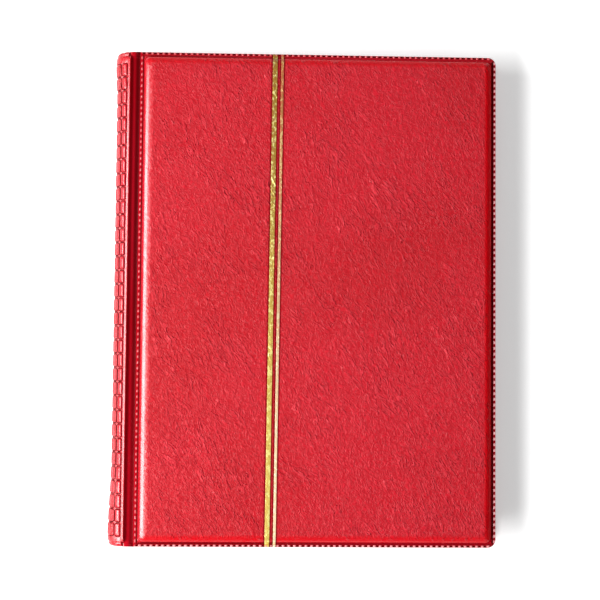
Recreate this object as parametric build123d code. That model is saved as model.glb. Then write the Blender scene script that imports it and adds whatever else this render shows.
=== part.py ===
from build123d import *
import os
from math import sin, cos, radians

# Padded stamp stockbook, closed, lying on its back cover.
# Row frame: X across the book (spine at -X, fore edge at +X), Y along the
# spine (head at +Y), Z up through the thickness.  The origin is the centre of
# the underside.

# ---------------------------------------------------------------- dimensions
WIDTH = 237.0            # crown of the spine to the fore edge
HEIGHT = 305.0           # head to tail
THICK = 25.0             # closed thickness

LINING_T = 0.5           # inner vinyl sheet of a cover
SKIN_T = 0.7             # outer vinyl sheet
BOARD_T = 2.0            # grey board inside a cover
COVER_T = 5.0            # whole padded cover
FLANGE_W = 2.9           # welded rim and crease round a cover
SHOULDER_R = 3.4         # rounding of the padded plateau's top edge
PLATEAU_CORNER_R = 4.0   # plan radius of the plateau's corners
EDGE_CORNER_R = 5.2      # plan radius of the cover's outer corners
BOARD_INSET = 1.2        # board edge inside the cavity of the skin

HINGE_EDGE_X = -103.3    # weld line between a cover and its hinge groove
PLATEAU_X0 = -101.1      # hinge side of the padded plateau
GROOVE_X0 = -109.2       # spine side of the hinge groove strip
GROOVE_T = 1.0

SPINE_R = 10.25          # outer radius of the rounded spine
SPINE_HALF = 70.0        # half angle of the spine's arc, degrees
SPINE_BOARD_T = 1.0
SPINE_LINING_T = 0.4
SPINE_BOARD_HALF = 66.0
SPINE_BOARD_LEN = 296.0

RULE_WIDE_W = 2.8        # gold rules blocked into the front cover
RULE_NARROW_W = 1.6
RULE_WIDE_X = -21.1      # centre of the wide rule at mid height
RULE_NARROW_X = -16.6    # centre of the narrow rule at mid height
RULE_SKEW = 0.46         # degrees, both rules lean the same way
RULE_T = 0.1

LEAVES = 8
LEAF_H = 295.0
LEAF_X1 = 112.0          # fore edge of a leaf
CARD_X0 = -96.0          # spine-side edge of a leaf's card
CARD_T = 0.6
FILM_T = 0.12            # clear pocket strip
FILM_GAP = 0.08          # room for a stamp behind the strip
POCKETS = 9              # pocket strips on each face
POCKET_PITCH = 32.0
POCKET_H = 27.0
POCKET_Y0 = -143.0
POCKET_X0 = -87.0
POCKET_X1 = 108.5
WELD_W = 2.0             # glued foot of a strip
GUARD_X0 = -100.1        # spine-side edge of a leaf's linen guard
GUARD_X1 = -90.0
GUARD_T = 0.4
GLASSINE_T = 0.15
GLASSINE_X1 = 110.0
GLASSINE_H = 292.0

BINDING_X = -102.1       # axis that the leaves turn about
BINDING_R = 1.2
WEB_T = 0.6
WEB_LEN = 290.0

# ------------------------------------------------------------ derived values
X1 = WIDTH / 2
X0 = -WIDTH / 2
Y1 = HEIGHT / 2
MID = THICK / 2
INNER = THICK - COVER_T            # inner face of the front cover
SPINE_CX = X0 + SPINE_R            # centre of the spine's arc
GAP = THICK - 2 * COVER_T          # room for the leaves
PITCH = GAP / LEAVES
HALF_LEAF = CARD_T / 2 + FILM_GAP + FILM_T

os.makedirs("parts", exist_ok=True)


def box(x0, x1, y0, y1, z0, z1):
    return Pos((x0 + x1) / 2, (y0 + y1) / 2, (z0 + z1) / 2) * Box(
        x1 - x0, y1 - y0, z1 - z0)


def plate(x0, x1, y0, y1, z0, z1, r_right=0.0, r_left=0.0):
    """A flat plate with its own plan radius on the +X and -X corners."""
    p = box(x0, x1, y0, y1, z0, z1)
    cx = (x0 + x1) / 2
    edges = p.edges().filter_by(Axis.Z)
    right = [e for e in edges if e.center().X > cx]
    left = [e for e in edges if e.center().X < cx]
    if r_right:
        p = fillet(right, r_right)
        edges = p.edges().filter_by(Axis.Z)
        left = [e for e in edges if abs(e.center().X - x0) < 1e-3]
    if r_left:
        p = fillet(left, r_left)
    return p


def pillow(x0, x1, y0, y1, z0, z1, corner_r, top_r):
    """A padded block: rounded corners in plan, rolled top edge."""
    p = plate(x0, x1, y0, y1, z0, z1, corner_r, corner_r)
    return fillet(p.faces().sort_by(Axis.Z)[-1].edges(), top_r)


def mirrored(shape):
    """The same piece of the back cover, mirrored about mid thickness."""
    return mirror(shape, about=Plane.XY.offset(MID))


def extrude_xz(points, y0, y1):
    """A closed outline in the XZ plane, run along Y from y0 to y1."""
    wire = Polyline(*[(x, z) for x, z in points], close=True)
    face = Plane.XZ * make_face(wire)          # normal is -Y
    return Pos(0, y1, 0) * extrude(face, amount=y1 - y0)


def arc_shell(r0, r1, half, length):
    """A sector of a tube about the spine's centre, open towards +X."""
    ring = Cylinder(r1, length) - Cylinder(r0, length + 1)
    n = 4 * r1
    a = radians(180 - half)
    b = radians(180 + half)
    m = radians(180 - half / 2)
    q = radians(180 + half / 2)
    wedge_pts = [(0, 0), (n * cos(a), n * sin(a)), (n * cos(m), n * sin(m)),
                 (-n, 0), (n * cos(q), n * sin(q)), (n * cos(b), n * sin(b))]
    wedge = extrude(make_face(Polyline(*wedge_pts, close=True)),
                    amount=length / 2 + 2, both=True)
    sector = ring & wedge
    # the tube's own axis is Z: turn it to run along Y, keeping -X as -X
    return Pos(SPINE_CX, 0, MID) * Rot(90, 0, 0) * sector


parts = {}

# ----------------------------------------------------------------- the covers
flange_z0 = INNER + LINING_T
flange_z1 = flange_z0 + SKIN_T
plateau = pillow(PLATEAU_X0, X1 - FLANGE_W, -Y1 + FLANGE_W, Y1 - FLANGE_W,
                 flange_z0, THICK, PLATEAU_CORNER_R, SHOULDER_R)
cavity = pillow(PLATEAU_X0 + SKIN_T, X1 - FLANGE_W - SKIN_T,
                -Y1 + FLANGE_W + SKIN_T, Y1 - FLANGE_W - SKIN_T,
                flange_z0, THICK - SKIN_T, PLATEAU_CORNER_R - SKIN_T,
                SHOULDER_R - SKIN_T)
flange = plate(HINGE_EDGE_X, X1, -Y1, Y1, flange_z0, flange_z1, EDGE_CORNER_R)
skin = (plateau + flange) - cavity

lining = plate(HINGE_EDGE_X, X1, -Y1, Y1, INNER, flange_z0, EDGE_CORNER_R)
bi = SKIN_T + BOARD_INSET
board = plate(PLATEAU_X0 + bi, X1 - FLANGE_W - bi, -Y1 + FLANGE_W + bi,
              Y1 - FLANGE_W - bi, flange_z0, flange_z0 + BOARD_T, 2.0, 2.0)
foam = cavity - board
groove = box(GROOVE_X0, HINGE_EDGE_X, -Y1, Y1, flange_z1 - GROOVE_T, flange_z1)

# The gold rules follow the skin's outer surface over the head and tail
# shoulders and on to the rims, set flush into it.
outer_body = plateau + flange
inner_body = (pillow(PLATEAU_X0 + RULE_T, X1 - FLANGE_W - RULE_T,
                     -Y1 + FLANGE_W + RULE_T, Y1 - FLANGE_W - RULE_T,
                     flange_z0 - 1, THICK - RULE_T,
                     PLATEAU_CORNER_R - RULE_T, SHOULDER_R - RULE_T)
              + box(HINGE_EDGE_X - 1, X1 + 1, -Y1 - 1, Y1 + 1,
                    flange_z0 - 1, flange_z1 - RULE_T))
foil_layer = outer_body - inner_body


def rule(x_mid, width):
    blade = Pos(x_mid, 0, THICK - 4) * Rot(0, 0, -RULE_SKEW) * Box(
        width, HEIGHT + 10, 12)
    return foil_layer & blade


rule_wide = rule(RULE_WIDE_X, RULE_WIDE_W)
rule_narrow = rule(RULE_NARROW_X, RULE_NARROW_W)

parts["front_cover_skin"] = skin - rule_wide - rule_narrow
parts["front_cover_foam"] = foam
parts["front_cover_board"] = board
parts["front_cover_lining"] = lining
parts["front_hinge_groove"] = groove
parts["gold_rule_wide"] = rule_wide
parts["gold_rule_narrow"] = rule_narrow

parts["back_cover_skin"] = mirrored(skin)
parts["back_cover_foam"] = mirrored(foam)
parts["back_cover_board"] = mirrored(board)
parts["back_cover_lining"] = mirrored(lining)
parts["back_hinge_groove"] = mirrored(groove)

# ------------------------------------------------------------------ the spine
r_board = SPINE_R - 0.8
r_lining = r_board - SPINE_BOARD_T
parts["spine_skin"] = arc_shell(r_board, SPINE_R, SPINE_HALF, HEIGHT)
parts["spine_board"] = arc_shell(r_lining, r_board, SPINE_BOARD_HALF,
                                 SPINE_BOARD_LEN)
parts["spine_lining"] = arc_shell(r_lining - SPINE_LINING_T, r_lining,
                                  SPINE_HALF, HEIGHT)

# ----------------------------------------------------------------- the binding
cord = Pos(BINDING_X, 0, MID) * Rot(90, 0, 0) * Cylinder(BINDING_R, LEAF_H)
parts["stitched_binding"] = cord
parts["binding_web"] = box(SPINE_CX - r_lining + SPINE_LINING_T + 0.02,
                           BINDING_X - BINDING_R / 2,
                           -WEB_LEN / 2, WEB_LEN / 2,
                           MID - WEB_T / 2, MID + WEB_T / 2) - cord

# ------------------------------------------------------------------ the leaves
h = CARD_T / 2


def pocket(y0, side, zc):
    """One clear strip: a glued foot along its lower edge, open at the top."""
    foot = box(POCKET_X0, POCKET_X1, y0, y0 + WELD_W, 0, FILM_GAP + FILM_T)
    film = box(POCKET_X0, POCKET_X1, y0, y0 + POCKET_H,
               FILM_GAP, FILM_GAP + FILM_T)
    s = foot + film
    if side > 0:
        return Pos(0, 0, zc + h) * s
    return Pos(0, 0, zc - h) * mirror(s, about=Plane.XY)


for k in range(1, LEAVES + 1):
    zc = COVER_T + PITCH * (k - 0.5)
    parts[f"leaf_{k}_card"] = plate(CARD_X0, LEAF_X1, -LEAF_H / 2, LEAF_H / 2,
                                    zc - h, zc + h, 2.0)
    strips = []
    for side in (1, -1):
        for i in range(POCKETS):
            strips.append(pocket(POCKET_Y0 + i * POCKET_PITCH, side, zc))
    parts[f"leaf_{k}_pocket_strips"] = Compound(
        children=[s.solids()[0] for s in strips])
    g = GUARD_T / 2
    e = HALF_LEAF
    parts[f"leaf_{k}_linen_guard"] = extrude_xz(
        [(GUARD_X0, zc - g), (CARD_X0 - 0.6, zc - g), (CARD_X0 - 0.6, zc - e),
         (GUARD_X1, zc - e), (GUARD_X1, zc - h), (CARD_X0, zc - h),
         (CARD_X0, zc + h), (GUARD_X1, zc + h), (GUARD_X1, zc + e),
         (CARD_X0 - 0.6, zc + e), (CARD_X0 - 0.6, zc + g),
         (GUARD_X0, zc + g)], -LEAF_H / 2 + 0.5, LEAF_H / 2 - 0.5)
    if k < LEAVES:
        zi = zc + PITCH / 2
        parts[f"glassine_interleaf_{k}"] = plate(
            GUARD_X0, GLASSINE_X1, -GLASSINE_H / 2, GLASSINE_H / 2,
            zi - GLASSINE_T / 2, zi + GLASSINE_T / 2, 2.0)

for name, shape in parts.items():
    export_step(shape, f"parts/{name}.step")
print(len(parts), "nodes written")
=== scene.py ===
# Padded stamp album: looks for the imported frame.
import bpy, bmesh, math
import numpy as np
from mathutils import Vector, Matrix, Euler, geometry


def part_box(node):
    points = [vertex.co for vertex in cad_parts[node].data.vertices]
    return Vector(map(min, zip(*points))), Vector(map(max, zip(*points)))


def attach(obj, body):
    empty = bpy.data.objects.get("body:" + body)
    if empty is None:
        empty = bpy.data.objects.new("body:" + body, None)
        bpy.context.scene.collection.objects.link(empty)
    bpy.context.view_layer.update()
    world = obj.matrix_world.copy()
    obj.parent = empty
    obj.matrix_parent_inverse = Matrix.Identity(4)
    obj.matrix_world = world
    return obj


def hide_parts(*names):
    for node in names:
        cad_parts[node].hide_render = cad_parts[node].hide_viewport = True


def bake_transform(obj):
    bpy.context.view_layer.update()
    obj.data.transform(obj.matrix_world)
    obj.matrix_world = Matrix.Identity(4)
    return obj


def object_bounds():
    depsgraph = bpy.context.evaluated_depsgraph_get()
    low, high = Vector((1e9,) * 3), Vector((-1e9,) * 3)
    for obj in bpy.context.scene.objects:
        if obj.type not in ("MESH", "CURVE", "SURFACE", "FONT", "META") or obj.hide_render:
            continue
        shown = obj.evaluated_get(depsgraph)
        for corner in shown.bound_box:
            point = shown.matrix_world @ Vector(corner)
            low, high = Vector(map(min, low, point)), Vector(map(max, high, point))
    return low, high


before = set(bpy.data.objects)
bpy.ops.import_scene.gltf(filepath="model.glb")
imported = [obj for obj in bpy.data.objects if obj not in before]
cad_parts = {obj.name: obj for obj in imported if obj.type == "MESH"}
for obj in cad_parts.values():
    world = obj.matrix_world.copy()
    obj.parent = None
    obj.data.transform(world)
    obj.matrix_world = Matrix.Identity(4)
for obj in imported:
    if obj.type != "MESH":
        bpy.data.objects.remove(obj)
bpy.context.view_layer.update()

MM = 0.001

# --------------------------------------------------------------- the frame
lo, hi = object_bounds()
X0, X1 = lo.x / MM, hi.x / MM          # spine crown, fore edge (mm)
Y1 = hi.y / MM                         # head
T = hi.z / MM                          # closed thickness
MID = T / 2
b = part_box("front_cover_skin")
HX = b[0].x / MM                       # hinge edge of a cover
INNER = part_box("front_cover_lining")[0].z / MM
SKIN0 = b[0].z / MM
SPINE_R = 10.25
SPINE_CX = X0 + SPINE_R
LEAF_X1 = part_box("leaf_1_card")[1].x / MM
RULE_LEAN = math.tan(math.radians(0.46))


# ------------------------------------------------------------------ helpers
def new_mesh(name, verts, faces, smooth=True):
    me = bpy.data.meshes.new(name)
    me.from_pydata([tuple(v) for v in np.asarray(verts, float) * MM], [],
                   [tuple(int(i) for i in f) for f in faces])
    me.validate(verbose=False)
    bm = bmesh.new()
    bm.from_mesh(me)
    bmesh.ops.recalc_face_normals(bm, faces=bm.faces)
    bm.to_mesh(me)
    bm.free()
    me.update()
    if smooth:
        me.polygons.foreach_set("use_smooth", [True] * len(me.polygons))
    ob = bpy.data.objects.new(name, me)
    bpy.context.scene.collection.objects.link(ob)
    return ob


def grid_faces(n_u, n_v, wrap_u=False, base=0, flip=False):
    """Quads of a grid of n_u columns by n_v rows, row-major."""
    faces = []
    last = n_u if wrap_u else n_u - 1
    for j in range(n_v - 1):
        for i in range(last):
            a = base + j * n_u + i
            bq = base + j * n_u + (i + 1) % n_u
            c = base + (j + 1) * n_u + (i + 1) % n_u
            d = base + (j + 1) * n_u + i
            faces.append((d, c, bq, a) if flip else (a, bq, c, d))
    return faces


def smoothstep(a, b, x):
    t = np.clip((np.asarray(x, float) - a) / (b - a), 0, 1)
    return t * t * (3 - 2 * t)


def waves(x, y):
    """Slow unevenness of the padding, in mm."""
    return (0.050 * np.sin(x / 23.0 + 0.7) * np.sin(y / 31.0 + 1.3)
            + 0.035 * np.sin(x / 11.0 + y / 17.0 + 2.1)
            + 0.030 * np.sin(x / 37.0 - y / 13.0 + 0.4)
            + 0.018 * np.sin(x / 6.3 + 1.9) * np.sin(y / 7.7 + 0.2))


# ------------------------------------------------- profile of a padded cover
# d: distance in from the rim, on the three outer sides.  hx: the same ring on
# the hinge side, from the weld line.  z: height above the cover's inner face.
PROFILE = [  # d, z, hx, hz, weld weight
    (0.00, 0.55, 0.00, 0.55, 0.0),
    (0.05, 0.90, 0.05, 0.92, 0.0),
    (0.18, 1.14, 0.20, 1.28, 0.10),
    (0.34, 1.24, 0.36, 1.42, 0.75),
    (0.60, 1.27, 0.58, 1.46, 1.0),
    (1.00, 1.27, 0.90, 1.46, 1.0),
    (1.28, 1.24, 1.14, 1.42, 0.75),
    (1.48, 1.12, 1.32, 1.28, 0.20),
    (1.75, 0.72, 1.52, 1.02, 0.0),
    (2.15, 0.52, 1.76, 0.92, 0.0),
    (2.60, 0.56, 2.00, 1.02, 0.0),
]
SHOULDER = [  # d, z, hx, hz
    (2.86, 0.90, 2.12, 1.30),
    (2.98, 1.42, 2.20, 1.72),
    (3.10, 1.90, 2.30, 2.15),
    (3.28, 2.34, 2.45, 2.60),
    (3.52, 2.76, 2.64, 3.00),
    (3.84, 3.18, 2.86, 3.32),
    (4.24, 3.60, 3.14, 3.60),
    (4.74, 4.00, 3.52, 3.85),
    (5.34, 4.36, 4.05, 4.10),
    (6.10, 4.66, 4.72, 4.38),
    (7.05, 4.86, 5.45, 4.66),
    (8.30, 4.96, 6.40, 4.89),
    (10.3, 5.00, 8.60, 5.00),
]
PITCH_WELD = 3.5


def ring(d, hx, n):
    """A rounded rectangle of 4n points with n on each side and corner pair:
    x, y, share of hinge-side.  Starts at the hinge side's foot."""
    x0, x1, y1 = HX + hx, X1 - d, Y1 - d
    rf = max(5.2 - 0.62 * d, 1.4)
    rh = float(np.interp(hx, [0, 0.6, 1.4, 2.2, 4.0, 10], [0.05, 0.5, 2.0, 3.4, 3.0, 2.0]))
    nc = max(n // 40, 6)
    pts = []

    def line(p, q, m, h0, h1):
        for i in range(m):
            t = i / m
            pts.append((p[0] + (q[0] - p[0]) * t, p[1] + (q[1] - p[1]) * t,
                        h0 + (h1 - h0) * t))

    def arc(cx, cy, r, a0, a1, m, h0, h1):
        for i in range(m):
            t = i / m
            a = math.radians(a0 + (a1 - a0) * t)
            pts.append((cx + r * math.cos(a), cy + r * math.sin(a),
                        h0 + (h1 - h0) * t))

    # hinge side runs from tail to head, then head, fore edge, tail
    side = {"h": int(n * 1.16), "w": int(n * 0.84)}
    line((x0, -y1 + rh), (x0, y1 - rh), side["h"], 1, 1)
    arc(x0 + rh, y1 - rh, rh, 180, 90, nc, 1, 0)
    line((x0 + rh, y1), (x1 - rf, y1), side["w"], 0, 0)
    arc(x1 - rf, y1 - rf, rf, 90, 0, nc, 0, 0)
    line((x1, y1 - rf), (x1, -y1 + rf), side["h"], 0, 0)
    arc(x1 - rf, -y1 + rf, rf, 0, -90, nc, 0, 0)
    line((x1 - rf, -y1), (x0 + rh, -y1), side["w"], 0, 0)
    arc(x0 + rh, -y1 + rh, rh, -90, -180, nc, 0, 1)
    return np.array(pts)


def cover_height(x, y):
    """Height of the finished panel above the inner face (no welds), for what
    lies on it: only used on the straight head and tail sides and the panel."""
    d = Y1 - np.abs(np.asarray(y, float))
    dd = [p[0] for p in PROFILE] + [p[0] for p in SHOULDER]
    zz = [p[1] for p in PROFILE] + [p[1] for p in SHOULDER]
    z = np.interp(d, dd, zz)
    return z + waves(x, y) * smoothstep(6.0, 14.0, d)


def weld(x, y, width=0.18):
    """Pressed dents of the heat weld: short ribs between longer dents."""
    along = np.minimum(X1 - x, x - HX) < Y1 - np.abs(y)
    ph = (np.where(along, y, x) / PITCH_WELD) % 1.0
    rib = np.exp(-((ph - 0.5) / width) ** 4)
    return rib - 0.66


def cover(name, front, n_fine=880):
    """The padded cover: one closed mesh."""
    verts, faces = [], []
    n_side = n_fine
    total_cols = None
    first = None
    # fine rings of the rim
    for d, z, hx, hz, w in PROFILE:
        r = ring(d, hx, n_side)
        total_cols = len(r)
        h = smoothstep(0, 1, r[:, 2])
        zz = z + (hz - z) * h
        fore = smoothstep(X1 - 7.0, X1 - 4.0, r[:, 0])
        tail = smoothstep(-Y1 + 6.0, -Y1 + 3.0, r[:, 1]) * (1 - fore)
        zz = zz + 0.42 * w * weld(r[:, 0], r[:, 1], 0.18 + 0.10 * fore + 0.05 * tail + 0.06 * h)
        verts.append(np.column_stack([r[:, 0], r[:, 1], zz]))
    n_r = len(PROFILE)
    faces += grid_faces(total_cols, n_r, wrap_u=True)
    # coarse rings of the shoulder: every 4th column
    keep = np.arange(0, total_cols, 4)
    base = n_r * total_cols
    nc = len(keep)
    outer = (n_r - 1) * total_cols
    for k in range(nc):
        a, bq = keep[k], keep[(k + 1) % nc]
        run = []
        i = a
        while True:
            run.append(outer + i)
            if i == bq:
                break
            i = (i + 1) % total_cols
        faces.append(tuple(run + [base + (k + 1) % nc, base + k]))
    for d, z, hx, hz in SHOULDER:
        r = ring(d, hx, n_side)[keep]
        h = smoothstep(0, 1, r[:, 2])
        zz = z + (hz - z) * h
        inside = np.minimum(np.minimum(X1 - r[:, 0], r[:, 0] - HX), Y1 - np.abs(r[:, 1]))
        zz = zz + waves(r[:, 0], r[:, 1]) * smoothstep(6.0, 14.0, inside)
        verts.append(np.column_stack([r[:, 0], r[:, 1], zz]))
    n_s = len(SHOULDER)
    faces += grid_faces(nc, n_s, wrap_u=True, base=base)
    v = np.vstack(verts)
    # the panel: a triangulated sheet within the last ring
    last = base + (n_s - 1) * nc
    rim = v[last:last + nc, :2]
    x0, x1 = rim[:, 0].min(), rim[:, 0].max()
    y0, y1 = rim[:, 1].min(), rim[:, 1].max()
    gx = np.arange(x0 + 2.2, x1 - 2.0, 3.2)
    gy = np.arange(y0 + 2.2, y1 - 2.0, 3.2)
    inner = [(x, y) for y in gy for x in gx]
    pts = [Vector(p) for p in rim] + [Vector(p) for p in inner]
    edges = [(i, (i + 1) % nc) for i in range(nc)]
    out = geometry.delaunay_2d_cdt(pts, edges, [], 1, 1e-6)
    oc = np.array([tuple(p) for p in out[0]])
    src = [o[0] if o else -1 for o in out[3]]
    idx = []
    extra = []
    for i, o in enumerate(src):
        if 0 <= o < nc:
            idx.append(last + o)
        else:
            idx.append(len(v) + len(extra))
            extra.append(oc[i])
    extra = np.array(extra)
    inside = np.minimum(np.minimum(X1 - extra[:, 0], extra[:, 0] - HX),
                        Y1 - np.abs(extra[:, 1]))
    ez = 5.0 + waves(extra[:, 0], extra[:, 1]) * smoothstep(6.0, 14.0, inside)
    v = np.vstack([v, np.column_stack([extra, ez])])
    for f in out[2]:
        faces.append(tuple(idx[i] for i in f))
    # the underside, against the lining
    faces.append(tuple(range(total_cols)))
    if front:
        v[:, 2] = INNER + v[:, 2]
    else:
        v[:, 2] = T - INNER - np.minimum(v[:, 2], 5.0)     # rests flat
    return new_mesh(name, v, faces)


# ---------------------------------------------------------------- the spine
LINK_Y0, LINK_Y1 = -146.5, 145.5
LINKS = 34
LINK_PITCH = (LINK_Y1 - LINK_Y0) / LINKS
LINK_COLS = ((60.2, 2.05), (33.0, 2.35), (0.0, 3.1), (-33.0, 2.35), (-60.2, 2.05))


def rounded_box_sdf(u, v, hu, hv, r):
    qu = np.abs(u) - (hu - r)
    qv = np.abs(v) - (hv - r)
    return (np.hypot(np.maximum(qu, 0), np.maximum(qv, 0))
            + np.minimum(np.maximum(qu, qv), 0) - r)


def emboss(phi, y):
    """Depth pressed into the spine at angle phi (degrees) and height y, mm."""
    depth = np.zeros_like(phi)
    inside = (y > LINK_Y0) & (y < LINK_Y1)
    ky = ((y - LINK_Y0) % LINK_PITCH) - LINK_PITCH / 2
    for c, half in LINK_COLS:
        u = np.radians(phi - c) * SPINE_R
        sd = rounded_box_sdf(u, ky, half, LINK_PITCH / 2 - 0.30, 1.25)
        line = np.exp(-((sd + 0.10) / 0.30) ** 2)
        dome = 0.24 * smoothstep(-0.2, -1.5, sd)
        d = np.where(inside & (np.abs(u) < half + 1.0), 0.52 * line - dome, 0.0)
        depth = np.where(np.abs(d) > np.abs(depth), d, depth)
    return depth


def end_squeeze(dist):
    """1 at the very end of the spine, 0 from 6 mm in."""
    t = np.clip(1 - dist / 5.6, 0, 1)
    return 1 - np.sqrt(1 - t * t)


def spine_radius(phi, y):
    dist = Y1 - np.abs(y)
    r = SPINE_R - emboss(phi, y)
    r = r - 2.4 * end_squeeze(dist)
    # weld ribs at the two ends
    n = 8
    ph = ((phi + 66) / 132 * n) % 1.0
    rib = np.exp(-((ph - 0.5) / 0.17) ** 2) - 0.62
    w = smoothstep(0.35, 0.6, dist) * (1 - smoothstep(1.5, 1.9, dist))
    r = r + 0.25 * w * rib
    crease = np.exp(-((dist - 2.5) / 0.45) ** 2)
    return r - 0.45 * crease


SPINE_PHI = 73.0


def flare(y, phi):
    """The spine stands a little prouder towards its two ends."""
    out = 1.75 * smoothstep(-98.0, -150.0, y) + 0.95 * smoothstep(122.0, 149.0, y)
    w = np.clip((np.cos(np.radians(phi)) - 0.30) / 0.62, 0, 1)
    return out * w * w * (3 - 2 * w)


def spine():
    ny, nphi = 880, 96
    phis = np.linspace(-SPINE_PHI, SPINE_PHI, nphi)
    # finer rows at the ends
    ys = np.concatenate([np.linspace(-Y1, -Y1 + 4, 18)[:-1],
                         np.linspace(-Y1 + 4, Y1 - 4, ny),
                         np.linspace(Y1 - 4, Y1, 18)[1:]])
    P, Y = np.meshgrid(phis, ys)
    R = spine_radius(P, Y)
    a = np.radians(P)
    F = flare(Y, P)
    outer = np.column_stack([(SPINE_CX - F - R * np.cos(a)).ravel(), Y.ravel(),
                             (MID + R * np.sin(a)).ravel()])
    Ri = np.full_like(P, SPINE_R - 0.78) - 2.2 * end_squeeze(Y1 - np.abs(Y))
    inner = np.column_stack([(SPINE_CX - F - Ri * np.cos(a)).ravel(), Y.ravel(),
                             (MID + Ri * np.sin(a)).ravel()])
    n = len(outer)
    nv, nu = len(ys), nphi
    faces = grid_faces(nu, nv)
    faces += grid_faces(nu, nv, base=n, flip=True)
    for j in range(nv - 1):       # long edges
        a0, a1 = j * nu, (j + 1) * nu
        faces.append((a0, a1, n + a1, n + a0))
        b0, b1 = j * nu + nu - 1, (j + 1) * nu + nu - 1
        faces.append((b1, b0, n + b0, n + b1))
    for i in range(nu - 1):       # ends
        faces.append((i + 1, i, n + i, n + i + 1))
        k = (nv - 1) * nu
        faces.append((k + i, k + i + 1, n + k + i + 1, n + k + i))
    ob = new_mesh("spine_leatherette", np.vstack([outer, inner]), faces)
    return ob


# --------------------------------------------------------- the hinge grooves
def groove_profile():
    """Points (x, z above mid thickness) across the groove, spine to cover."""
    a = math.radians(SPINE_PHI)
    pts = [(SPINE_CX - SPINE_R * math.cos(a), SPINE_R * math.sin(a))]
    top = INNER - MID
    pts += [(-110.90, top + 2.42), (-110.50, top + 2.62), (-110.10, top + 2.80),
            (-109.80, top + 2.84), (-109.58, top + 2.66), (-109.42, top + 2.25),
            (-109.28, top + 1.70), (-109.1, top + 1.20), (-108.75, top + 0.76),
            (-108.2, top + 0.42), (-107.4, top + 0.14), (-106.4, top - 0.06),
            (-105.4, top - 0.18), (-104.6, top - 0.18), (-104.1, top - 0.02),
            (-103.78, top + 0.30), (-103.56, top + 0.75), (HX - 0.10, top + 1.05),
            (HX + 0.05, top + 1.14)]
    p = np.array(pts)
    low = p[:, 1] < top + 1.4
    p[low, 1] = top + 0.35 + (p[low, 1] - (top - 0.18)) * (1.05 / 1.58)
    # a smooth, finer line through them
    s = np.concatenate([[0], np.cumsum(np.hypot(*np.diff(p, axis=0).T))])
    fine = np.linspace(0, s[-1], 58)
    px = np.interp(fine, s, p[:, 0])
    pz = np.interp(fine, s, p[:, 1])
    for _ in range(2):
        px[1:-1] = (px[:-2] + 2 * px[1:-1] + px[2:]) / 4
        pz[1:-1] = (pz[:-2] + 2 * pz[1:-1] + pz[2:]) / 4
    return px, pz


def groove(name, front):
    px, pz = groove_profile()
    ys = np.concatenate([np.linspace(-Y1, -Y1 + 5, 26)[:-1],
                         np.linspace(-Y1 + 5, Y1 - 5, 150),
                         np.linspace(Y1 - 5, Y1, 26)[1:]])
    X, Y = np.meshgrid(px, ys)
    Z = np.tile(pz, (len(ys), 1))
    dist = Y1 - np.abs(Y)
    top = INNER - MID
    # the end rim: the groove rises and the crown drops to the welded edge
    a = math.radians(SPINE_PHI)
    r_end = SPINE_R - 2.4 * end_squeeze(dist)
    sx = SPINE_CX - r_end * math.cos(a)
    sz = r_end * math.sin(a)
    k = np.clip((X - px[0]) / (px[-1] - px[0]), 0, 1)
    # keep the first column on the spine's edge as it pulls in
    shift_x = (sx - (SPINE_CX - SPINE_R * math.cos(a))) * (1 - smoothstep(0, 0.35, k))
    shift_z = (sz - SPINE_R * math.sin(a)) * (1 - smoothstep(0, 0.35, k))
    X = X + shift_x
    Z = Z + shift_z
    rim_z = top + 0.95 - 0.5 * (1 - smoothstep(0, 0.5, k))
    S = 1 - smoothstep(1.6, 4.6, dist)
    Z = Z + (rim_z - Z) * S * smoothstep(0.0, 0.12, k) * (1 - smoothstep(0.93, 1.0, k))
    ph = ((X - HX) / PITCH_WELD) % 1.0
    rib = np.exp(-((ph - 0.5) / 0.17) ** 2) - 0.62
    w = smoothstep(0.35, 0.6, dist) * (1 - smoothstep(1.5, 1.9, dist))
    w = w * smoothstep(0.02, 0.12, k) * (1 - smoothstep(0.95, 1.0, k))
    Z = Z + 0.25 * w * rib
    Z = Z - 0.40 * np.exp(-((dist - 2.4) / 0.45) ** 2) * smoothstep(0.02, 0.15, k) * (1 - smoothstep(0.9, 1.0, k))
    sgn = 1 if front else -1
    Z = np.maximum(Z, top + 0.20)
    under = np.maximum(Z - 0.55, top + 0.03)
    outer = np.column_stack([X.ravel(), Y.ravel(), (MID + sgn * Z).ravel()])
    inner = np.column_stack([X.ravel(), Y.ravel(), (MID + sgn * under).ravel()])
    n = len(outer)
    nv, nu = len(ys), len(px)
    faces = grid_faces(nu, nv)
    faces += grid_faces(nu, nv, base=n, flip=True)
    for j in range(nv - 1):
        a0, a1 = j * nu, (j + 1) * nu
        faces.append((a0, a1, n + a1, n + a0))
        b0, b1 = j * nu + nu - 1, (j + 1) * nu + nu - 1
        faces.append((b1, b0, n + b0, n + b1))
    for i in range(nu - 1):
        faces.append((i + 1, i, n + i, n + i + 1))
        kk = (nv - 1) * nu
        faces.append((kk + i, kk + i + 1, n + kk + i + 1, n + kk + i))
    if not front:
        faces = [tuple(reversed(f)) for f in faces]
    return new_mesh(name, np.vstack([outer, inner]), faces)


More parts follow.
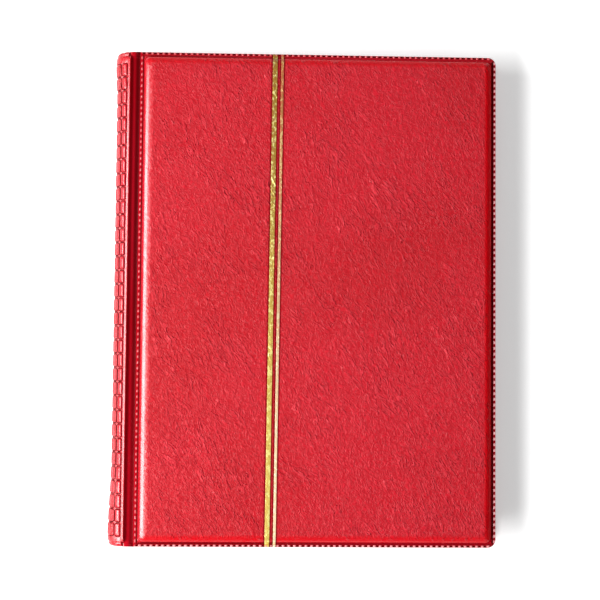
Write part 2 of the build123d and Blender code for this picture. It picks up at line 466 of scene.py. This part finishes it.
# ------------------------------------------------------------ the gold rules
def rule(name, x_mid, width):
    """A foil ribbon that follows the cover over both shoulders and rims."""
    ds = np.unique(np.concatenate([np.linspace(0.12, 12, 150)]))
    ys = np.concatenate([-(Y1 - ds), np.linspace(-Y1 + 12, Y1 - 12, 560)[1:-1],
                         (Y1 - ds)[::-1]])
    us = np.array([-0.5, -0.493, -0.47, 0.0, 0.47, 0.493, 0.5])
    hs = np.array([-0.06, 0.050, 0.055, 0.056, 0.055, 0.050, -0.06])
    U, Y = np.meshgrid(us, ys)
    H, _ = np.meshgrid(hs, ys)
    ragged = 1 + 0.02 * np.sin(Y * 1.7 + x_mid) + 0.015 * np.sin(Y * 4.1)
    X = x_mid + Y * RULE_LEAN + U * width * ragged
    Z = INNER + cover_height(X, Y) + H
    outer = np.column_stack([X.ravel(), Y.ravel(), Z.ravel()])
    nv, nu = len(ys), len(us)
    inner = outer.copy()
    inner[:, 2] -= 0.12
    n = len(outer)
    faces = grid_faces(nu, nv)
    faces += grid_faces(nu, nv, base=n, flip=True)
    for j in range(nv - 1):
        a0, a1 = j * nu, (j + 1) * nu
        faces.append((a0, a1, n + a1, n + a0))
        b0, b1 = j * nu + nu - 1, (j + 1) * nu + nu - 1
        faces.append((b1, b0, n + b0, n + b1))
    for i in range(nu - 1):
        faces.append((i + 1, i, n + i, n + i + 1))
        k = (nv - 1) * nu
        faces.append((k + i, k + i + 1, n + k + i + 1, n + k + i))
    return new_mesh(name, np.vstack([outer, inner]), faces)


# ---------------------------------------------------------------- materials
class Mat:
    """A short way to write node materials."""

    def __init__(self, name):
        self.m = bpy.data.materials.new(name)
        self.m.use_nodes = True
        self.t = self.m.node_tree
        self.t.nodes.clear()
        self.out = self.t.nodes.new("ShaderNodeOutputMaterial")
        self.b = self.t.nodes.new("ShaderNodeBsdfPrincipled")
        self.t.links.new(self.b.outputs[0], self.out.inputs[0])
        self.co = self.t.nodes.new("ShaderNodeTexCoord").outputs["Object"]

    def link(self, a, bq):
        self.t.links.new(a, bq)

    def put(self, sock, v):
        if isinstance(v, bpy.types.NodeSocket):
            self.link(v, sock)
        elif v is not None:
            if hasattr(sock.default_value, "__len__") and not hasattr(v, "__len__"):
                v = [v] * len(sock.default_value)
            if hasattr(v, "__len__") and len(v) == 3 and len(sock.default_value) == 4:
                v = (*v, 1)
            sock.default_value = v

    def mapping(self, rot=(0, 0, 0), scale=(1, 1, 1), loc=(0, 0, 0), src=None):
        turn = self.t.nodes.new("ShaderNodeMapping")
        turn.vector_type = "POINT"
        self.put(turn.inputs["Vector"], src or self.co)
        turn.inputs["Rotation"].default_value = [math.radians(a) for a in rot]
        n = self.t.nodes.new("ShaderNodeMapping")
        n.vector_type = "POINT"
        self.link(turn.outputs[0], n.inputs["Vector"])
        n.inputs["Scale"].default_value = scale
        n.inputs["Location"].default_value = loc
        return n.outputs[0]

    def noise(self, vec=None, scale=1000.0, detail=3.0, rough=0.5, distort=0.0):
        n = self.t.nodes.new("ShaderNodeTexNoise")
        n.noise_dimensions = "3D"
        self.put(n.inputs["Vector"], vec or self.co)
        n.inputs["Scale"].default_value = scale
        n.inputs["Detail"].default_value = detail
        n.inputs["Roughness"].default_value = rough
        n.inputs["Distortion"].default_value = distort
        return n.outputs["Fac"] if "Fac" in n.outputs else n.outputs[0]

    def voronoi(self, vec=None, scale=800.0, feature="SMOOTH_F1", smooth=0.6, rand=1.0):
        n = self.t.nodes.new("ShaderNodeTexVoronoi")
        n.feature = feature
        self.put(n.inputs["Vector"], vec or self.co)
        n.inputs["Scale"].default_value = scale
        n.inputs["Randomness"].default_value = rand
        if feature == "SMOOTH_F1":
            n.inputs["Smoothness"].default_value = smooth
        return n.outputs["Distance"]

    def wave(self, vec, scale, distort=0.0, direction="X"):
        n = self.t.nodes.new("ShaderNodeTexWave")
        n.bands_direction = direction
        self.put(n.inputs["Vector"], vec)
        n.inputs["Scale"].default_value = scale
        n.inputs["Distortion"].default_value = distort
        n.inputs["Detail"].default_value = 1.0
        return n.outputs["Fac"] if "Fac" in n.outputs else n.outputs[1]

    def math(self, op, a, bq=None, clamp=False):
        n = self.t.nodes.new("ShaderNodeMath")
        n.operation = op
        n.use_clamp = clamp
        self.put(n.inputs[0], a)
        if bq is not None:
            self.put(n.inputs[1], bq)
        return n.outputs[0]

    def ramp(self, fac, lo_, hi_, a=0.0, bq=1.0):
        n = self.t.nodes.new("ShaderNodeMapRange")
        n.interpolation_type = "SMOOTHSTEP"
        self.put(n.inputs[0], fac)
        n.inputs[1].default_value = lo_
        n.inputs[2].default_value = hi_
        n.inputs[3].default_value = a
        n.inputs[4].default_value = bq
        return n.outputs[0]

    def mix(self, fac, a, bq, blend="MIX"):
        n = self.t.nodes.new("ShaderNodeMix")
        n.data_type = "RGBA"
        n.blend_type = blend
        self.put(n.inputs[0], fac)
        self.put(n.inputs[6], a)
        self.put(n.inputs[7], bq)
        return n.outputs[2]

    def bump(self, height, strength, distance, normal=None):
        n = self.t.nodes.new("ShaderNodeBump")
        self.put(n.inputs["Height"], height)
        n.inputs["Strength"].default_value = strength
        n.inputs["Distance"].default_value = distance
        if normal is not None:
            self.link(normal, n.inputs["Normal"])
        return n.outputs[0]

    def attr(self, name):
        n = self.t.nodes.new("ShaderNodeAttribute")
        n.attribute_type = "GEOMETRY"
        n.attribute_name = name
        return n.outputs["Fac"]

    def xyz(self):
        n = self.t.nodes.new("ShaderNodeSeparateXYZ")
        self.link(self.co, n.inputs[0])
        return n.outputs

    def set(self, **kw):
        for k, v in kw.items():
            self.put(self.b.inputs[k.replace("_", " ")], v)
        return self.m


def leather_height(m):
    """Grain of the leatherette: pebbles, diagonal creases in clusters and a
    fine tooth.  Returns (height, creases, pebbles)."""
    # short wandering wrinkles, as a contour of slow noise
    w1 = m.noise(m.mapping(rot=(0, 0, -28), scale=(1.0, 0.62, 1.0)), scale=430, detail=1.8, rough=0.5, distort=0.7)
    w2 = m.noise(m.mapping(rot=(0, 0, -10), scale=(1.0, 0.80, 1.0), loc=(4, 4, 0)), scale=560, detail=1.2, rough=0.5, distort=0.5)
    w1 = m.ramp(m.math("ABSOLUTE", m.math("SUBTRACT", w1, 0.5)), 0.0, 0.085, 1.0, 0.0)
    w2 = m.ramp(m.math("ABSOLUTE", m.math("SUBTRACT", w2, 0.5)), 0.0, 0.075, 1.0, 0.0)
    peb = m.math("MAXIMUM", w1, m.math("MULTIPLY", w2, 0.75))
    rows = []
    for ang, sx, sy, off, lo_, hi_ in ((29, 560, 120, 0.0, 0.56, 0.63),
                                       (15, 600, 140, 3.7, 0.56, 0.63),
                                       (46, 520, 130, 9.1, 0.57, 0.64)):
        vec = m.mapping(rot=(0, 0, -ang), scale=(sx, sy, 300), loc=(off, off, 0))
        n = m.noise(vec, scale=1.0, detail=1.2, rough=0.45, distort=1.1)
        rows.append(m.ramp(n, lo_, hi_))
    mask = m.ramp(m.noise(m.mapping(rot=(0, 0, -30), scale=(1.5, 0.7, 1.0)), scale=30, detail=2.5, rough=0.6), 0.50, 0.60)
    mask2 = m.ramp(m.noise(m.mapping(loc=(5, 2, 0)), scale=31, detail=2), 0.52, 0.64)
    mask3 = m.ramp(m.noise(m.mapping(loc=(1, 7, 0)), scale=29, detail=2), 0.54, 0.66)
    cr = m.math("MAXIMUM", m.math("MULTIPLY", rows[0], mask),
                m.math("MULTIPLY", rows[1], mask2))
    cr = m.math("MAXIMUM", cr, m.math("MULTIPLY", rows[2], mask3))
    fine = m.noise(scale=2300, detail=2.5, rough=0.6)
    warp = m.noise(scale=330, detail=2)
    h = m.math("ADD", m.math("MULTIPLY", peb, 0.30), m.math("MULTIPLY", cr, 1.0))
    h = m.math("ADD", h, m.math("MULTIPLY", fine, 0.10))
    h = m.math("ADD", h, m.math("MULTIPLY", warp, 0.60))
    return h, cr, peb


RED_A = (0.505, 0.0028, 0.0115)
RED_B = (0.560, 0.0060, 0.0190)
# painted shade colour for the hollows of the grain
RED_VALLEY_SHADE = (0.330, 0.0020, 0.0045)


def leatherette(name, rules=False):
    m = Mat(name)
    h, cr, peb = leather_height(m)
    grain = m.attr("grain")
    pressed_shade = m.attr("pressed_shade")
    tone = m.ramp(m.noise(scale=9, detail=3), 0.35, 0.65)
    col = m.mix(tone, RED_A, RED_B)
    # painted light on the wrinkles: painted shade darkens their hollows, a painted highlight lightens their tips
    valley_shade = m.math("MULTIPLY", m.ramp(m.math("MAXIMUM", m.math("MULTIPLY", peb, 0.6), cr), 0.0, 0.50, 0.34, 0.0), grain)
    col = m.mix(valley_shade, col, RED_VALLEY_SHADE)
    # painted highlight: the crests of the creases are lightened toward pink
    crease_tip_highlight = m.math("MULTIPLY", m.math("MULTIPLY", cr, grain), 0.18)
    col = m.mix(crease_tip_highlight, col, (0.80, 0.060, 0.085))
    # painted shade: weld dents, creases, emboss lines and the hinge groove are darkened nearly to black
    col = m.mix(m.ramp(pressed_shade, 0.0, 1.0, 0.0, 0.95), col, (0.040, 0.0002, 0.0004))
    # painted highlight: the raised weld ribs are lightened to pinkish white
    bead_highlight = m.attr("bead_highlight")
    col = m.mix(m.math("MULTIPLY", bead_highlight, 0.66, clamp=True), col, (0.94, 0.50, 0.52))
    matte = m.attr("matte")
    # the rolled shoulder is smooth; its band is painted a brighter, clearer red as painted light
    clear = m.math("SUBTRACT", m.attr("clear"), pressed_shade, clamp=True)
    col = m.mix(m.math("MULTIPLY", clear, 0.85, clamp=True), col, (0.66, 0.0008, 0.0030))
    normal = None
    if rules:
        # the skin is pressed in beside each gold rule; the pressed line is darkened as painted shade
        x, y, _ = m.xyz()
        lean = m.math("MULTIPLY", y, RULE_LEAN)
        rule_groove_shade = None
        for xm, w in RULES:
            u = m.math("ABSOLUTE", m.math("SUBTRACT", m.math("SUBTRACT", x, lean), xm * MM))
            near = m.ramp(m.math("ABSOLUTE", m.math("SUBTRACT", u, (w / 2 + 0.36) * MM)),
                          0.0002, 0.00095, 1.0, 0.0)
            rule_groove_shade = near if rule_groove_shade is None else m.math("MAXIMUM", rule_groove_shade, near)
        col = m.mix(m.math("MULTIPLY", rule_groove_shade, 0.80), col, (0.15, 0.0015, 0.004))
        normal = m.bump(m.math("MULTIPLY", rule_groove_shade, -1.0), 0.3, 0.00012)
        rule_side = rule_groove_shade
    hh = m.math("MULTIPLY", h, m.ramp(grain, 0.0, 1.0, 0.10, 1.0))
    if rules:
        matte = m.math("MAXIMUM", matte, m.math("MULTIPLY", rule_side, 0.8))
    nrm = m.bump(hh, 0.95, 0.00074, normal)
    rough = m.ramp(m.noise(scale=70, detail=4, rough=0.65), 0.3, 0.7, 0.21, 0.29)
    rough = m.math("ADD", rough, m.math("MULTIPLY", grain, 0.195))
    rough = m.math("ADD", rough, m.math("MULTIPLY", pressed_shade, 0.06))
    m.set(Base_Color=col, Roughness=rough, Normal=nrm, IOR=1.50,
          Specular_IOR_Level=m.math("MULTIPLY", m.ramp(matte, 0.0, 0.9, 0.50, 0.03),
                                    m.ramp(grain, 0.0, 1.0, 1.0, 0.66)),
          Coat_Weight=m.math("MULTIPLY", m.ramp(matte, 0.0, 0.6, 1.0, 0.0),
                             m.ramp(grain, 0.0, 1.0, 0.42, 0.03)),
          Coat_Roughness=0.13, Coat_IOR=1.5)
    return m.m


def gold(name, dull):
    m = Mat(name)
    h, cr, peb = leather_height(m)
    x, y, _ = m.xyz()
    along = m.ramp(y, -0.150, 0.150, 0.0, 1.0)      # 0 at the tail, 1 at the head: the foil is painted darker towards the head as painted shade
    speck = m.noise(m.mapping(scale=(1.0, 0.55, 1.0)), scale=1050, detail=3, rough=0.6)
    spot = m.ramp(m.noise(m.mapping(scale=(1.0, 0.6, 1.0), loc=(3, 1, 0)), scale=620, detail=2.5), 0.50, 0.60)
    wear = m.ramp(m.math("ADD", speck, m.math("MULTIPLY", along, 0.10)), 0.57, 0.66)
    if dull:
        bright = m.mix(along, (1.0, 0.86, 0.60), (0.86, 0.55, 0.22))
        low = m.mix(along, (1.0, 0.76, 0.46), (0.50, 0.20, 0.06))
        red = m.mix(along, (0.85, 0.42, 0.20), (0.46, 0.07, 0.03))
    else:
        bright = m.mix(along, (0.92, 0.80, 0.26), (0.86, 0.78, 0.28))
        low = m.mix(along, (0.78, 0.58, 0.13), (0.40, 0.24, 0.03))
        red = m.mix(along, (0.52, 0.28, 0.04), (0.24, 0.09, 0.012))
    col = m.mix(spot, low, bright)
    col = m.mix(m.math("MULTIPLY", wear, 0.80), col, red)
    metal = m.ramp(wear, 0.0, 1.0, 0.45, 0.10)
    nrm = m.bump(m.math("ADD", h, m.math("MULTIPLY", speck, 0.9)), 0.6, 0.00022)
    rough = m.ramp(speck, 0.3, 0.7, 0.30, 0.48)
    m.set(Base_Color=col, Metallic=metal, Roughness=rough, Normal=nrm)
    return m.m


def black_card():
    m = Mat("black_card_fibre")
    fib = m.noise(m.mapping(rot=(0, 0, 8), scale=(1.0, 0.18, 1.0)), scale=2400, detail=4, rough=0.7)
    blot = m.noise(scale=60, detail=4, rough=0.6)
    col = m.mix(m.ramp(blot, 0.35, 0.65), (0.0105, 0.0105, 0.0120), (0.0175, 0.0170, 0.0180))
    col = m.mix(m.ramp(fib, 0.62, 0.74), col, (0.045, 0.044, 0.044))
    m.set(Base_Color=col, Roughness=m.ramp(blot, 0.3, 0.7, 0.56, 0.72),
          Normal=m.bump(fib, 0.35, 0.00008))
    return m.m


def clear_film():
    m = Mat("pocket_film")
    rip = m.noise(m.mapping(scale=(1.0, 4.0, 1.0)), scale=16, detail=2)
    scuff = m.ramp(m.noise(m.mapping(rot=(0, 0, 20), scale=(0.15, 1.0, 1.0)), scale=900, detail=3), 0.56, 0.72)
    m.set(Base_Color=m.mix(scuff, (0.30, 0.31, 0.32), (0.60, 0.62, 0.63)),
          Roughness=m.ramp(scuff, 0.0, 1.0, 0.05, 0.22),
          Alpha=m.ramp(scuff, 0.0, 1.0, 0.035, 0.060),
          Normal=m.bump(rip, 0.18, 0.0005))
    return m.m


def glassine():
    m = Mat("glassine_paper")
    fib = m.noise(m.mapping(scale=(1.0, 0.3, 1.0)), scale=900, detail=5, rough=0.7)
    cloud = m.noise(scale=38, detail=3, rough=0.5)
    m.set(Base_Color=m.mix(m.ramp(fib, 0.35, 0.65), (0.82, 0.81, 0.76), (0.90, 0.89, 0.85)),
          Roughness=m.ramp(cloud, 0.3, 0.7, 0.30, 0.42),
          Alpha=m.ramp(cloud, 0.2, 0.8, 0.19, 0.24),
          Normal=m.bump(m.noise(scale=22, detail=3), 0.15, 0.0010))
    return m.m


def linen(name, a, bq):
    m = Mat(name)
    wx = m.wave(m.mapping(scale=(1, 1, 1)), 520, 0.4, "X")
    wy = m.wave(m.mapping(scale=(1, 1, 1)), 520, 0.4, "Y")
    over = m.math("MAXIMUM", wx, wy)
    col = m.mix(over, a, bq)
    m.set(Base_Color=col, Roughness=m.ramp(over, 0, 1, 0.92, 0.72),
          Normal=m.bump(over, 0.6, 0.00014), Sheen_Weight=0.25, Sheen_Roughness=0.5)
    return m.m


def lining_vinyl():
    m = Mat("lining_vinyl_grain")
    cell = m.voronoi(scale=1100, smooth=0.5)
    cloud = m.noise(scale=30, detail=4, rough=0.6)
    col = m.mix(m.ramp(cloud, 0.35, 0.65), (0.235, 0.0035, 0.0085), (0.275, 0.0060, 0.0120))
    # the heat weld shows through along the rim as a row of dents; the dents and the crease inside them are
    # darkened as painted shade
    x, y, _ = m.xyz()
    dx = m.math("SUBTRACT", X1 * MM, x)
    dh = m.math("SUBTRACT", x, HX * MM)
    dx = m.math("MINIMUM", dx, dh)
    dy = m.math("SUBTRACT", Y1 * MM, m.math("ABSOLUTE", y))
    d = m.math("MINIMUM", dx, dy)
    on_side = m.math("LESS_THAN", dx, dy)
    run = m.math("ADD", m.math("MULTIPLY", on_side, y),
                 m.math("MULTIPLY", m.math("SUBTRACT", 1.0, on_side), x))
    ph = m.math("FRACT", m.math("MULTIPLY", m.math("ADD", run, 1.0), 1 / (PITCH_WELD * MM)))
    dash = m.ramp(m.math("ABSOLUTE", m.math("SUBTRACT", ph, 0.5)), 0.30, 0.36, 1.0, 0.0)
    band = m.ramp(m.math("ABSOLUTE", m.math("SUBTRACT", d, 0.0009)), 0.0004, 0.0006, 1.0, 0.0)
    dent = m.math("MULTIPLY", dash, band)
    crease = m.ramp(m.math("ABSOLUTE", m.math("SUBTRACT", d, 0.0024)), 0.0001, 0.0005, 1.0, 0.0)
    rim_press_shade = m.math("MAXIMUM", dent, m.math("MULTIPLY", crease, 0.55))
    col = m.mix(m.math("MULTIPLY", rim_press_shade, 0.65), col, (0.06, 0.0008, 0.0016))
    n0 = m.bump(m.math("MULTIPLY", rim_press_shade, -1.0), 0.6, 0.00025)
    m.set(Base_Color=col, Roughness=m.ramp(cloud, 0.3, 0.7, 0.38, 0.50),
          Normal=m.bump(cell, 0.45, 0.00016, n0))
    return m.m


def board(name, a, bq, scale):
    m = Mat(name)
    f = m.noise(m.mapping(scale=(1, 0.4, 2.5)), scale=scale, detail=6, rough=0.75)
    m.set(Base_Color=m.mix(m.ramp(f, 0.3, 0.7), a, bq), Roughness=m.ramp(f, 0.2, 0.8, 0.95, 0.8),
          Normal=m.bump(f, 0.5, 0.0002))
    return m.m


def pale_floor():
    m = Mat("studio_paper")
    f = m.noise(scale=35, detail=5, rough=0.6)
    m.set(Base_Color=m.mix(m.ramp(f, 0.3, 0.7), (0.93, 0.93, 0.93), (0.95, 0.95, 0.95)),
          Roughness=0.9, Normal=m.bump(f, 0.04, 0.0005),
          Emission_Color=(1.0, 1.0, 1.0), Emission_Strength=0.34)
    return m.m


# ------------------------------------------------------------- build it all
RULES = ((-21.1, 2.8), (-16.6, 1.6))
RULES = ((sum(c.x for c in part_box("gold_rule_wide")) / 2 / MM, 2.8),
         (sum(c.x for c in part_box("gold_rule_narrow")) / 2 / MM, 1.6))


def attribute(ob, name, values):
    a = ob.data.attributes.new(name, "FLOAT", "POINT")
    a.data.foreach_set("value", np.asarray(values, np.float32))


def coords(ob):
    co = np.zeros(len(ob.data.vertices) * 3)
    ob.data.vertices.foreach_get("co", co)
    return co.reshape(-1, 3) / MM


def cover_attributes(ob, front):
    co = coords(ob)
    hinge = co[:, 0] - HX
    outer = np.minimum(X1 - co[:, 0], Y1 - np.abs(co[:, 1]))
    inside = np.minimum(outer, hinge - 1.1)
    attribute(ob, "grain", smoothstep(4.2, 7.4, inside))
    up = co[:, 2] - INNER if front else (T - INNER) - co[:, 2]
    on_hinge = hinge < np.minimum(outer, 2.6)
    # pressed dents of the weld, and the crease between rim and padding, both darkened as painted shade
    top = np.where(on_hinge, 1.46, 1.27) - 0.05
    dents = np.clip((top - up) / 0.16, 0, 1) * (up > 0.6)
    dents = dents * np.where(on_hinge, (hinge > 0.16) & (hinge < 1.40),
                             (outer > 0.20) & (outer < 1.42))
    # painted shade of the crease: strongest on the fore edge, weaker at tail and head
    crease_shade_by_side = np.where(X1 - co[:, 0] < Y1 - np.abs(co[:, 1]), 1.0, np.where(co[:, 1] > 0, 0.45, 0.65))
    crease = np.where(on_hinge, 0.0, crease_shade_by_side * (1 - smoothstep(2.55, 3.25, outer)) * smoothstep(1.40, 1.60, outer))
    crease = np.maximum(crease, np.where(on_hinge, smoothstep(1.36, 1.5, hinge) * (1 - smoothstep(1.8, 2.3, hinge)) * 0.8, 0))
    # painted shade of the dents: weakest on the hinge side, then the fore edge
    attribute(ob, "pressed_shade", np.maximum(dents * np.where(on_hinge, 0.45, np.where(X1 - co[:, 0] < 3.2, 0.62, 0.9)), crease))
    # painted highlight on the weld ribs: strongest on the fore edge, then tail, faint at head and hinge
    bead_highlight = np.clip((up - top + 0.01) / 0.10, 0, 1) * (up < 1.75)
    bead_highlight = bead_highlight * np.where(on_hinge, (hinge > 0.16) & (hinge < 1.40),
                           (outer > 0.16) & (outer < 1.46))
    side = np.where(on_hinge, 0.32, np.where(X1 - co[:, 0] < 3.2, 1.15,
                                            np.where(co[:, 1] < 0, 0.8, 0.3)))
    attribute(ob, "bead_highlight", bead_highlight * side)
    # foot of the shoulder: less gloss there, and painted light as a brighter red, stronger along the fore edge
    foot = smoothstep(2.7, 3.0, outer) * (1 - smoothstep(6.2, 8.6, outer))
    foot = foot * np.where(X1 - co[:, 0] < Y1 - np.abs(co[:, 1]), 0.95, 0.55)
    foot = foot * smoothstep(3.0, 7.0, hinge)
    attribute(ob, "matte", np.maximum(np.maximum(dents, crease), foot))
    attribute(ob, "clear", foot)


M_LEATHER_FRONT = leatherette("red_leatherette_front", rules=True)
M_LEATHER = leatherette("red_leatherette")
M_LINEN = linen("black_linen_weave", (0.008, 0.008, 0.009), (0.032, 0.032, 0.034))

front = cover("front_cover_padding", True)
cover_attributes(front, True)
front.data.materials.append(M_LEATHER_FRONT)
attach(front, "front_cover")
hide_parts("front_cover_skin", "front_cover_foam")

back = cover("back_cover_padding", False)
cover_attributes(back, False)
back.data.materials.append(M_LEATHER)
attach(back, "back_cover")
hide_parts("back_cover_skin", "back_cover_foam")

sp = spine()
co = coords(sp)
phi = np.degrees(np.arctan2(co[:, 2] - MID, SPINE_CX - co[:, 0]))
em = emboss(phi, co[:, 1])
n_half = len(co) // 2
attribute(sp, "clear", np.zeros(len(phi)))
attribute(sp, "grain", 0.55 - 0.43 * smoothstep(40, 56, np.abs(phi)))
# painted shade: the emboss lines and the outer face of the spine are darkened
pr = np.clip((em - 0.10) / 0.26, 0, 1)
pr[n_half:] = 0
attribute(sp, "pressed_shade", np.maximum(pr, 0.24 - 0.24 * smoothstep(34, 52, np.abs(phi))))
attribute(sp, "bead_highlight", np.zeros(len(co)))
attribute(sp, "matte", pr)
sp.data.materials.append(M_LEATHER)
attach(sp, "spine")
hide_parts("spine_skin")

for nm, fr in (("front_hinge_leatherette", True), ("back_hinge_leatherette", False)):
    g = groove(nm, fr)
    n = len(g.data.vertices)
    gc = coords(g)
    attribute(g, "grain", np.full(n, 0.10))
    attribute(g, "clear", np.zeros(n))
    attribute(g, "bead_highlight", np.zeros(n))
    attribute(g, "matte", smoothstep(-109.6, -109.25, gc[:, 0]))
    # painted shade: the groove is darkened, deepest beside the cover and more towards the head
    depth = (0.36 * smoothstep(-109.55, -109.2, gc[:, 0])
             + 0.50 * smoothstep(-107.6, -105.4, gc[:, 0])) * (1 - smoothstep(HX - 0.45, HX - 0.1, gc[:, 0]))
    depth = depth * (0.82 + 0.18 * smoothstep(-150, 60, gc[:, 1]))
    attribute(g, "pressed_shade", depth)
    g.data.materials.append(M_LEATHER)
    cover_body = "front_cover" if fr else "back_cover"
    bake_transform(g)
    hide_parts("front_hinge_groove" if fr else "back_hinge_groove")

for nm, (xm, w), node, dull in (("gold_rule_wide_foil", RULES[0], "gold_rule_wide", False),
                                ("gold_rule_narrow_foil", RULES[1], "gold_rule_narrow", True)):
    r = rule(nm, xm, w)
    r.data.materials.append(gold(nm + "_finish", dull))
    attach(r, "front_cover")
    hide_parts(node)

# leaves: the linen guards draw in to the stitched core
core_lo, core_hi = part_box("stitched_binding")
CX = (core_lo.x + core_hi.x) / 2 / MM
CZ = (core_lo.z + core_hi.z) / 2 / MM


def guard(k):
    glo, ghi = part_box(f"leaf_{k}_linen_guard")
    zc = (glo.z + ghi.z) / 2 / MM
    x1 = ghi.x / MM
    cx = x1 - 6.0                      # card edge
    y1 = ghi.y / MM
    h = zc - CZ
    ang = h / 6.6 * math.radians(52)
    e = (CX + 1.28 * math.cos(ang), CZ + 1.28 * math.sin(ang))
    mid = []
    n = 12
    for i in range(n + 1):             # from the card's edge to the core
        t = i / n
        s = t * t * (3 - 2 * t)
        mid.append((cx - 0.9 + (e[0] - cx + 0.9) * t, zc + (e[1] - zc) * s))
    half = np.interp(np.arange(n + 1), [0, 2, n], [0.34, 0.20, 0.11])
    upper, lower = [], []
    for (px, pz), t in zip(mid, half):
        upper.append((px, pz + t))
        lower.append((px, pz - t))
    sec = ([(x1, zc + 0.31), (x1 + 0.02, zc + 0.42), (x1 - 0.3, zc + 0.48), (cx + 2, zc + 0.49), (cx, zc + 0.49), (cx - 0.5, zc + 0.44)]
           + upper + list(reversed(lower))
           + [(cx - 0.5, zc - 0.44), (cx, zc - 0.49), (cx + 2, zc - 0.49), (x1 - 0.3, zc - 0.48), (x1 + 0.02, zc - 0.42), (x1, zc - 0.31),
              (cx + 0.02, zc - 0.31), (cx + 0.02, zc + 0.31)])
    ys = np.linspace(-y1, y1, 60)
    verts = []
    for j, y in enumerate(ys):
        for x, z in sec:
            verts.append((x, y, z))
    m = len(sec)
    faces = []
    for j in range(len(ys) - 1):
        for i in range(m):
            a, bq = j * m + i, j * m + (i + 1) % m
            faces.append((a, bq, bq + m, a + m))
    faces.append(tuple(range(m)))
    faces = [tuple(reversed(f)) for f in faces]
    faces.append(tuple((len(ys) - 1) * m + i for i in reversed(range(m))))
    faces[-1] = tuple(reversed(faces[-1]))
    ob = new_mesh(f"leaf_{k}_guard_cloth", verts, faces, smooth=False)
    ob.data.materials.append(M_LINEN)
    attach(ob, f"leaf_{k}")
    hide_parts(f"leaf_{k}_linen_guard")


N_LEAVES = sum(1 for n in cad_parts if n.startswith("leaf_") and n.endswith("_card"))
for k in range(1, N_LEAVES + 1):
    guard(k)


def stitched_core():
    ny, na = 620, 16
    y1 = core_hi.y / MM
    ys = np.linspace(-y1, y1, ny)
    an = np.linspace(0, 2 * math.pi, na, endpoint=False)
    A, Y = np.meshgrid(an, ys)
    R = 1.02 + 0.16 * np.abs(np.sin((Y / 2.6 + A / (2 * math.pi)) * math.pi)) ** 0.7
    v = np.column_stack([(CX + R * np.cos(A)).ravel(), Y.ravel(), (CZ + R * np.sin(A)).ravel()])
    faces = grid_faces(na, ny, wrap_u=True, flip=True)
    faces.append(tuple(range(na)))
    faces.append(tuple((ny - 1) * na + i for i in reversed(range(na))))
    ob = new_mesh("stitched_core_thread", v, faces)
    ob.data.materials.append(linen("binding_thread", (0.010, 0.010, 0.011), (0.050, 0.050, 0.052)))
    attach(ob, "spine")
    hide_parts("stitched_binding")


stitched_core()

CARD, FILM, GLASS = black_card(), clear_film(), glassine()
LINING = lining_vinyl()
GREY = board("grey_board_pulp", (0.30, 0.28, 0.25), (0.42, 0.40, 0.36), 900)
for name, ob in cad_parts.items():
    if ob.hide_render:
        continue
    mat = (CARD if name.endswith("_card") else FILM if name.endswith("pocket_strips")
           else GLASS if name.startswith("glassine") else LINING if name.endswith("lining")
           else GREY if name.endswith("board") else M_LINEN)
    for s in ob.material_slots:
        s.material = mat
    if not ob.material_slots:
        ob.data.materials.append(mat)

# ------------------------------------------------------------------- studio
bpy.ops.mesh.primitive_grid_add(x_subdivisions=8, y_subdivisions=8, size=6, location=(0, 0, -0.0002))
floor = bpy.context.object
floor.name = "studio_floor"
floor.data.materials.append(pale_floor())

world = bpy.data.worlds.new("studio")
bpy.context.scene.world = world
world.use_nodes = True
bg = world.node_tree.nodes["Background"]
bg.inputs[0].default_value = (1.0, 1.0, 1.0, 1)
bg.inputs[1].default_value = 0.17


def softbox(name, at, to, size, size_y, power, color=(1, 1, 1)):
    d = bpy.data.lights.new(name, "AREA")
    d.shape = "RECTANGLE"
    d.size, d.size_y = size, size_y
    d.energy = power
    d.color = color
    o = bpy.data.objects.new(name, d)
    bpy.context.scene.collection.objects.link(o)
    o.location = at
    o.rotation_euler = (Vector(to) - Vector(at)).to_track_quat("-Z", "Y").to_euler()
    return o


softbox("key_left", (-0.80, -0.24, 0.72), (-0.02, -0.02, 0.02), 1.30, 0.36, 26)
softbox("fill_right", (1.0, -0.15, 0.85), (0, 0, 0), 0.5, 0.4, 1.2)
softbox("top_back", (0.10, 1.05, 0.95), (0, 0, 0), 0.9, 0.4, 1.6)

cam_data = bpy.data.cameras.new("camera")
cam_data.lens = 70
cam_data.sensor_width = 36
cam = bpy.data.objects.new("camera", cam_data)
bpy.context.scene.collection.objects.link(cam)
cam.location = (-0.0270, -0.0358, 0.7410)
cam.rotation_euler = Euler([math.radians(a) for a in (2.753, -1.914, 0.494)], "XYZ")
bpy.context.scene.camera = cam
bpy.context.scene.view_settings.view_transform = "Standard"
bpy.context.scene.view_settings.look = "None"
bpy.context.scene.view_settings.exposure = 0.0
